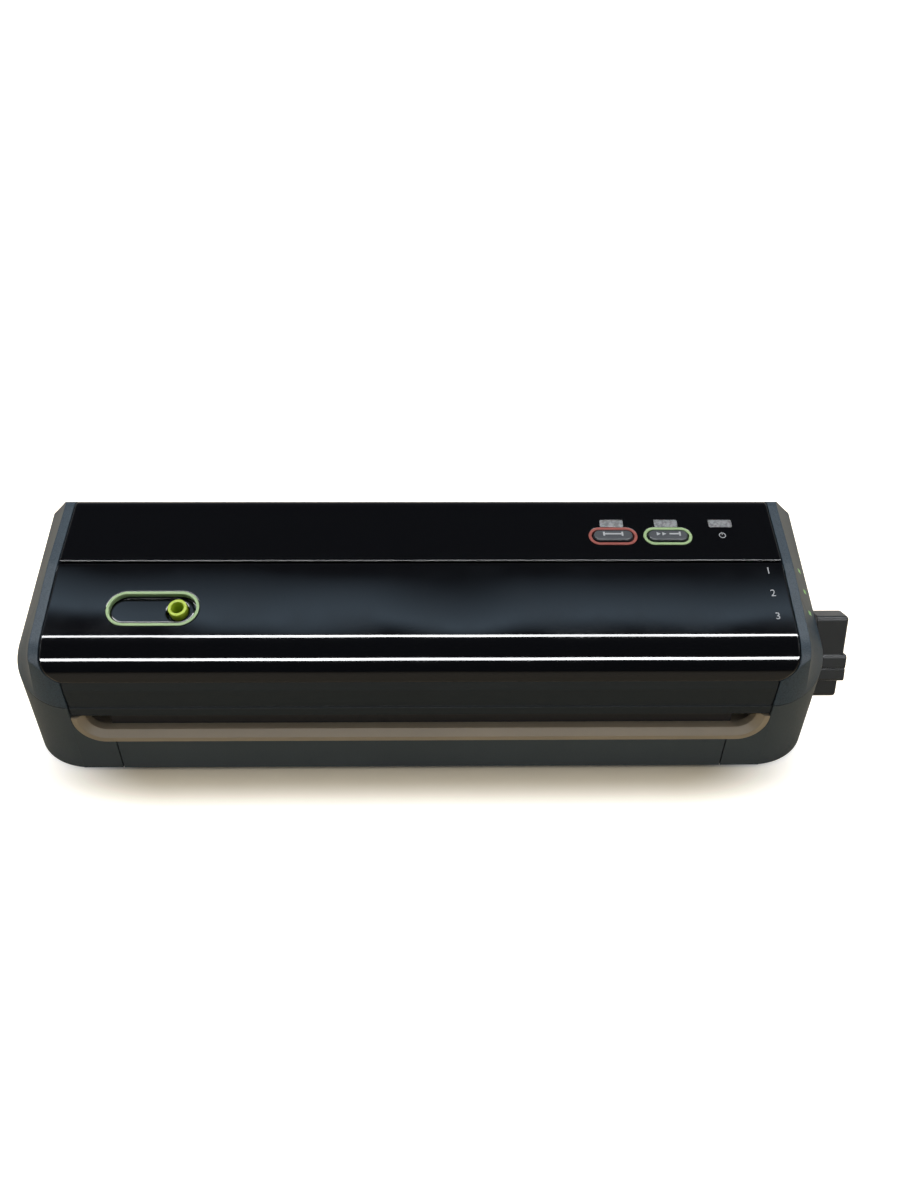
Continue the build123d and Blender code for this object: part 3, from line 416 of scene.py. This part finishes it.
half_turn = [math.pi * (i / ARC_STEPS - 0.5) for i in range(ARC_STEPS + 1)]
ring_width = dish_high.x - dish_low.x
dish_place = laid_on("accessory_dish", (dish_low.x + dish_high.x) / 2, (dish_low.y + dish_high.y) / 2, 0)
# The ring's box is measured flat, so its depth is laid back on the slope; the ring's thickness is left out.
slope_cosine = dish_place.to_3x3().col[2].z
ring_height = (dish_high.y - dish_low.y) / slope_cosine * FACE_SHARE
plate_r = ring_height / 2 - PLATE_MARGIN_MM * MM
plate_run = ring_width / 2 - PLATE_MARGIN_MM * MM - plate_r
plate_curve = bpy.data.curves.new("port_label_plate", "CURVE")
plate_curve.dimensions = "2D"
plate_curve.fill_mode = "BOTH"
plate_curve.extrude = PLATE_T_MM / 2 * MM
plate_curve.bevel_depth = PLATE_RIM_MM * MM
plate_curve.bevel_resolution = 3
right_end = [(plate_run + plate_r * math.cos(a), plate_r * math.sin(a)) for a in half_turn]
add_outline(plate_curve, right_end + [(-x, -y) for x, y in right_end])
hole_r = (port_high.x - port_low.x) / 2 + HOLE_CLEAR_MM * MM
hole_x = (port_low.x + port_high.x - dish_low.x - dish_high.x) / 2
full_turn = [math.pi * i / ARC_STEPS for i in range(2 * ARC_STEPS)]
add_outline(plate_curve, [(hole_x + hole_r * math.cos(a), hole_r * math.sin(a)) for a in full_turn])
plate = bpy.data.objects.new("port_label_plate", plate_curve)
plate.matrix_world = dish_place @ Matrix.Translation((0, 0, PLATE_T_MM / 2 * MM))
bpy.context.scene.collection.objects.link(plate)
plate_curve.materials.append(gloss_abs)
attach(plate, "lid")

# Printed marks: pad-printed ink, a hair above the surface that carries it.
# Numerals on the lid and ticks on the right trim give the lever's three places; plain signs stand on the
# two buttons and under the power window.
INK_GREY = "#9a9da0"
INK_GREEN = "#8cc27a"
INK_LIFT_MM = 0.05
NUMERAL_MM = 5.2
NUMERAL_INSET_MM = 7.4
NUMERAL_BACK_MM = (7.4, 19.2, 30.9)
TICK_INSET_MM = 8.0
TICK_BACK_MM = (-7.8, 4.2, 15.7)
TICK = (7.0, 2.0)
TICK_TURN = 20
SIGN_BAR = 0.9
SIGN_END = 2.6
SEAL_LINE, SEAL_END_X = 8.0, 4.5
PRESS_LINE, PRESS_LINE_X, PRESS_END_X = 4.6, 3.0, 5.8
ARROW_X = (-4.6, -1.8)
ARROW_HALF, ARROW_RISE = 1.0, 1.1
POWER_DROP_MM = 7.5
POWER_R_MM = 1.5
POWER_DASHES, POWER_START, POWER_STEP = 11, 120, 30
POWER_STROKE, POWER_DASH, POWER_STEM = 0.35, 0.85, 1.5
STEM_SHARE = 0.8
grey_ink = spark_textured_abs("grey_ink_pad_printed", INK_GREY, roughness=0.5, depth_mm=0.002)
green_ink = spark_textured_abs("green_ink_pad_printed", INK_GREEN, roughness=0.5, depth_mm=0.002)
lid_low, lid_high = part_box("lid_cover")


def bar(x, y, length, width, turn=0.0):
    spin = Matrix.Rotation(math.radians(turn), 2)
    corners = [(-1, -1), (1, -1), (1, 1), (-1, 1)]
    return [Vector((x, y)) + spin @ Vector((a * length / 2, b * width / 2)) for a, b in corners]


def printed(name, carrier, body, x, y, shapes, ink):
    mesh = bpy.data.meshes.new(name)
    points = [(p[0] * MM, p[1] * MM, 0) for shape in shapes for p in shape]
    starts = [sum(len(s) for s in shapes[:i]) for i in range(len(shapes))]
    mesh.from_pydata(points, [], [range(s, s + len(shape)) for s, shape in zip(starts, shapes)])
    mesh.materials.append(ink)
    mark = bpy.data.objects.new(name, mesh)
    mark.matrix_world = laid_on(carrier, x, y, INK_LIFT_MM)
    bpy.context.scene.collection.objects.link(mark)
    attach(mark, body)


for numeral, back in zip("123", NUMERAL_BACK_MM):
    letter = bpy.data.curves.new("lid_numeral_" + numeral, "FONT")
    letter.body = numeral
    letter.size = NUMERAL_MM * MM
    letter.align_x = "CENTER"
    letter.align_y = "CENTER"
    letter.materials.append(grey_ink)
    mark = bpy.data.objects.new("lid_numeral_" + numeral, letter)
    mark.matrix_world = laid_on("lid_cover", lid_high.x - NUMERAL_INSET_MM * MM, lid_high.y - back * MM,
                                INK_LIFT_MM)
    bpy.context.scene.collection.objects.link(mark)
    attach(mark, "lid")
trim_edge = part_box("right_end_cap")[1].x
for number, back in zip("123", TICK_BACK_MM):
    printed("trim_tick_" + number, "right_side_trim", "base",
            trim_edge - TICK_INSET_MM * MM, lid_high.y - back * MM,
            [bar(0, 0, *TICK, turn=TICK_TURN)], green_ink)
arrows = [[(x - ARROW_HALF, -ARROW_RISE), (x + ARROW_HALF, 0), (x - ARROW_HALF, ARROW_RISE)] for x in ARROW_X]
seal_ends = [bar(x, 0, SIGN_BAR, SIGN_END) for x in (-SEAL_END_X, SEAL_END_X)]
press = [bar(PRESS_LINE_X, 0, PRESS_LINE, SIGN_BAR), bar(PRESS_END_X, 0, SIGN_BAR, SIGN_END)]
signs = {"seal_button": [bar(0, 0, SEAL_LINE, SIGN_BAR)] + seal_ends, "vacuum_button": arrows + press}
for name, shapes in signs.items():
    low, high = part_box(name + "_ring")
    printed(name + "_sign", name, name, (low.x + high.x) / 2, (low.y + high.y) / 2, shapes, grey_ink)
low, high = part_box("power_light")
dashes = [math.radians(POWER_START + POWER_STEP * i) for i in range(POWER_DASHES)]
power_sign = [bar(POWER_R_MM * math.cos(a), POWER_R_MM * math.sin(a), POWER_STROKE, POWER_DASH,
                  math.degrees(a)) for a in dashes]
power_sign.append(bar(0, POWER_R_MM * STEM_SHARE, POWER_STROKE, POWER_STEM))
printed("power_sign", "control_panel", "base",
        (low.x + high.x) / 2, (low.y + high.y) / 2 - POWER_DROP_MM * MM, power_sign, grey_ink)

# Floor: a plain pale tabletop, far larger than the picture.
# It carries the soft cast shadow. A glow of its own, seen but not cast, brings it to white away from the
# machine. The glow is held low within a few millimetres of the base's footprint, so a darker warm band lies
# along the front: painted shade over the cast shadow, faded towards the ends. The tabletop's tan colour shows
# only in that band.
FLOOR_HALF = 6.0
FLOOR_PALE = "#dacbae"
FLOOR_SHADE = "#d5c5a7"
FLECK_MM = 30.0
NEAR_LIFT, FAR_LIFT = 0.02, 1.0
NEAR_MM, FAR_MM = 6.0, 36.0
END_IN_MM = 75.0
END_FALL = 0.4
GLOW = "#fafcff"
floor_mesh = bpy.data.meshes.new("floor")
corners = [(-1, -1), (1, -1), (1, 1), (-1, 1)]
floor_mesh.from_pydata([(x * FLOOR_HALF, y * FLOOR_HALF, 0) for x, y in corners], [], [(0, 1, 2, 3)])
floor = bpy.data.objects.new("floor", floor_mesh)
bpy.context.scene.collection.objects.link(floor)
laminate, tree = new_material("white_laminate_pressed")
place = add(tree, "ShaderNodeTexCoord")
fleck = add(tree, "ShaderNodeTexNoise", links={"Vector": place.outputs["Object"]},
            values={"Scale": 1 / (FLECK_MM * MM)})
pale = add(tree, "ShaderNodeValToRGB", links={"Fac": fleck.outputs["Fac"]})
pale.color_ramp.elements[0].color = linear(FLOOR_SHADE)
pale.color_ramp.elements[1].color = linear(FLOOR_PALE)
# Painted shade: the glow stays at NEAR_LIFT within NEAR_MM of the base's footprint and reaches FAR_LIFT only
# FAR_MM out. END_IN_MM and END_FALL narrow the darker band towards the ends.
foot_low, foot_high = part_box("base_tub")
foot_middle = (foot_low + foot_high) / 2
foot_half = Vector((trim_edge - foot_middle.x - END_IN_MM * MM, (foot_high.y - foot_low.y) / 2, 0))
centred = add(tree, "ShaderNodeVectorMath", links={0: place.outputs["Object"]},
              values={1: foot_middle}, operation="SUBTRACT")
folded = add(tree, "ShaderNodeVectorMath", links={0: centred.outputs[0]}, operation="ABSOLUTE")
past = add(tree, "ShaderNodeVectorMath", links={0: folded.outputs[0]},
           values={1: foot_half}, operation="SUBTRACT")
outside = add(tree, "ShaderNodeVectorMath", links={0: past.outputs[0]},
              values={1: (0, 0, 0)}, operation="MAXIMUM")
weighted = add(tree, "ShaderNodeVectorMath", links={0: outside.outputs[0]},
               values={1: (END_FALL, 1, 0)}, operation="MULTIPLY")
away = add(tree, "ShaderNodeVectorMath", links={0: weighted.outputs[0]}, operation="LENGTH")
rise = add(tree, "ShaderNodeMapRange", links={"Value": away.outputs["Value"]},
           values={"From Min": NEAR_MM * MM, "From Max": FAR_MM * MM,
                   "To Min": NEAR_LIFT, "To Max": FAR_LIFT},
           interpolation_type="SMOOTHSTEP")
ray = add(tree, "ShaderNodeLightPath")
mirrored = add(tree, "ShaderNodeMath",
               links={0: ray.outputs["Is Glossy Ray"], 1: ray.outputs["Is Transmission Ray"]},
               operation="MAXIMUM")
mirrored = add(tree, "ShaderNodeMath", links={0: mirrored.outputs[0]},
               values={1: NEAR_LIFT}, operation="MULTIPLY")
lift = add(tree, "ShaderNodeMath",
           links={0: ray.outputs["Is Camera Ray"], 1: rise.outputs["Result"], 2: mirrored.outputs[0]},
           operation="MULTIPLY_ADD")
shader = add(tree, "ShaderNodeBsdfPrincipled",
             links={"Base Color": pale.outputs["Color"], "Emission Strength": lift.outputs[0]},
             values={"Emission Color": linear(GLOW), "Roughness": 0.7, "Specular IOR Level": 0.2})
surface(tree, shader)
floor_mesh.materials.append(laminate)

# Room: white to the camera, dim to everything else, with a white wall behind the object.
# A narrow bluish ceiling pane lies where the lid's slope mirrors it, as a soft band above the nose.
ROOM_GREY = "#5a6068"
WHITE = "#ffffff"
WALL_FULL, WALL_TOP = 0.1, 0.45
WALL_START, WALL_BACK = 0.1, 0.5
PANE_BLUE = "#9db4c8"
PANE_STRENGTH = 6.0
PANE_START, PANE_PEAK, PANE_END = 0.143, 0.155, 0.195
world = bpy.data.worlds.new("studio")
bpy.context.scene.world = world
world.use_nodes = True
tree = world.node_tree
tree.nodes.clear()
way = add(tree, "ShaderNodeTexCoord")
parts = add(tree, "ShaderNodeSeparateXYZ", links={"Vector": way.outputs["Generated"]})
low_down = add(tree, "ShaderNodeMapRange", links={"Value": parts.outputs["Z"]},
               values={"From Min": WALL_FULL, "From Max": WALL_TOP, "To Min": 1.0, "To Max": 0.0})
to_back = add(tree, "ShaderNodeMapRange", links={"Value": parts.outputs["Y"]},
              values={"From Min": WALL_START, "From Max": WALL_BACK})
wall = add(tree, "ShaderNodeMath", links={0: low_down.outputs["Result"], 1: to_back.outputs["Result"]},
           operation="MULTIPLY")
tone = add(tree, "ShaderNodeMix", links={"Factor": wall.outputs[0]}, data_type="RGBA")
tone.inputs["A"].default_value = linear(ROOM_GREY)
tone.inputs["B"].default_value = linear(WHITE)
room = add(tree, "ShaderNodeBackground", links={"Color": tone.outputs["Result"]}, values={"Strength": 1.0})
near_edge = add(tree, "ShaderNodeMapRange", links={"Value": parts.outputs["Y"]},
                values={"From Min": PANE_START, "From Max": PANE_PEAK})
far_edge = add(tree, "ShaderNodeMapRange", links={"Value": parts.outputs["Y"]},
               values={"From Min": PANE_PEAK, "From Max": PANE_END, "To Min": PANE_STRENGTH, "To Max": 0.0})
pane = add(tree, "ShaderNodeMath", links={0: near_edge.outputs["Result"], 1: far_edge.outputs["Result"]},
           operation="MULTIPLY")
pane_light = add(tree, "ShaderNodeBackground", links={"Strength": pane.outputs[0]},
                 values={"Color": linear(PANE_BLUE)})
room = add(tree, "ShaderNodeAddShader", links={0: room.outputs[0], 1: pane_light.outputs[0]})
sky = add(tree, "ShaderNodeBackground", values={"Color": linear(WHITE), "Strength": 1.0})
ray = add(tree, "ShaderNodeLightPath")
both = add(tree, "ShaderNodeMixShader",
           links={0: ray.outputs["Is Camera Ray"], 1: room.outputs[0], 2: sky.outputs[0]})
add(tree, "ShaderNodeOutputWorld", links={"Surface": both.outputs[0]})

# Lamps: a broad ceiling box that lights without being mirrored, two soft boxes at the sides, one at the back
# that lays the shadow to the front, and two long tubes that only show as the two bright lines on the nose.
MIDDLE = (lid_low.x + lid_high.x) / 2
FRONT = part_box("bag_deck")[0].y
NOSE_IN, NOSE_UP = 0.010, 0.073
NOSE = Vector((MIDDLE, FRONT + NOSE_IN, NOSE_UP))
CEILING_OFF, CEILING_SIZE, CEILING_POWER = Vector((0, 0.45, 1.45)), (1.2, 0.9), 17
SIDE_AWAY, SIDE_FRONT, SIDE_UP = 1.25, 0.35, 1.05
SIDE_SIZE, SIDE_POWER = (1.0, 1.0), 7
BACK_OFF, BACK_SIZE, BACK_POWER = Vector((0, 1.0, 0.95)), (0.9, 0.6), 8
BACK_WARM = "#fff4e6"
TUBE_AWAY = 1.5
TUBE_SIZE, TUBE_POWER = (2.4, 0.17), 100
TUBE_COOL = "#fbfdff"
TUBE_RISES = {"overhead_tube": 92, "front_tube": 31}


def lamp(name, place, target, size, power, colour):
    light = bpy.data.lights.new(name, "AREA")
    light.shape = "RECTANGLE"
    light.size, light.size_y = size
    light.energy = power
    light.color = linear(colour)[:3]
    made = bpy.data.objects.new(name, light)
    aimed = (target - place).to_track_quat("-Z", "Y")
    made.matrix_world = Matrix.Translation(place) @ aimed.to_matrix().to_4x4()
    bpy.context.scene.collection.objects.link(made)
    return made


ceiling = lamp("ceiling_box", NOSE + CEILING_OFF, NOSE, CEILING_SIZE, CEILING_POWER, WHITE)
ceiling.visible_glossy = False
for name, side in (("left_soft_box", -1), ("right_soft_box", 1)):
    spot = Vector((MIDDLE + side * SIDE_AWAY, FRONT - SIDE_FRONT, SIDE_UP))
    lamp(name, spot, NOSE, SIDE_SIZE, SIDE_POWER, WHITE)
back_box = lamp("back_soft_box", NOSE + BACK_OFF, NOSE, BACK_SIZE, BACK_POWER, BACK_WARM)
back_box.visible_glossy = False
for name, rise in TUBE_RISES.items():
    turn = math.radians(rise)
    spot = NOSE + Vector((0, -math.cos(turn), math.sin(turn))) * TUBE_AWAY
    tube = lamp(name, spot, NOSE, TUBE_SIZE, TUBE_POWER, TUBE_COOL)
    tube.visible_diffuse = False

# Camera: the photograph's own view, in front of the machine and above it, looking down at it.
# Its place and angles were fitted to the object's corners and edges; the lens is given in picture pixels.
EYE_ASIDE, EYE_BEFORE, EYE_UP = 0.006202, 0.32444, 0.359182
EYE = Vector((MIDDLE + EYE_ASIDE, FRONT - EYE_BEFORE, EYE_UP))
PITCH, YAW, ROLL = (math.radians(a) for a in (37.946, 0.873, 0.100))
FOCAL_PIXELS = 960
PICTURE_HIGH = 1200
SENSOR_MM = 36
NEAREST = 0.01
ahead = Vector((0, math.cos(PITCH), -math.sin(PITCH)))
right = Vector((1, 0, 0))
upward = Vector((0, math.sin(PITCH), math.cos(PITCH)))
forward = ahead * math.cos(YAW) + right * math.sin(YAW)
right = right * math.cos(YAW) - ahead * math.sin(YAW)
across = right * math.cos(ROLL) - upward * math.sin(ROLL)
upward = upward * math.cos(ROLL) + right * math.sin(ROLL)
camera_data = bpy.data.cameras.new("camera")
camera_data.sensor_width = SENSOR_MM
camera_data.lens = SENSOR_MM * FOCAL_PIXELS / PICTURE_HIGH
camera_data.clip_start = NEAREST
camera = bpy.data.objects.new("camera", camera_data)
turned = Matrix((across, upward, -forward)).transposed()
camera.matrix_world = Matrix.Translation(EYE) @ turned.to_4x4()
bpy.context.scene.collection.objects.link(camera)
bpy.context.scene.camera = camera
bpy.context.scene.view_settings.view_transform = "Standard"
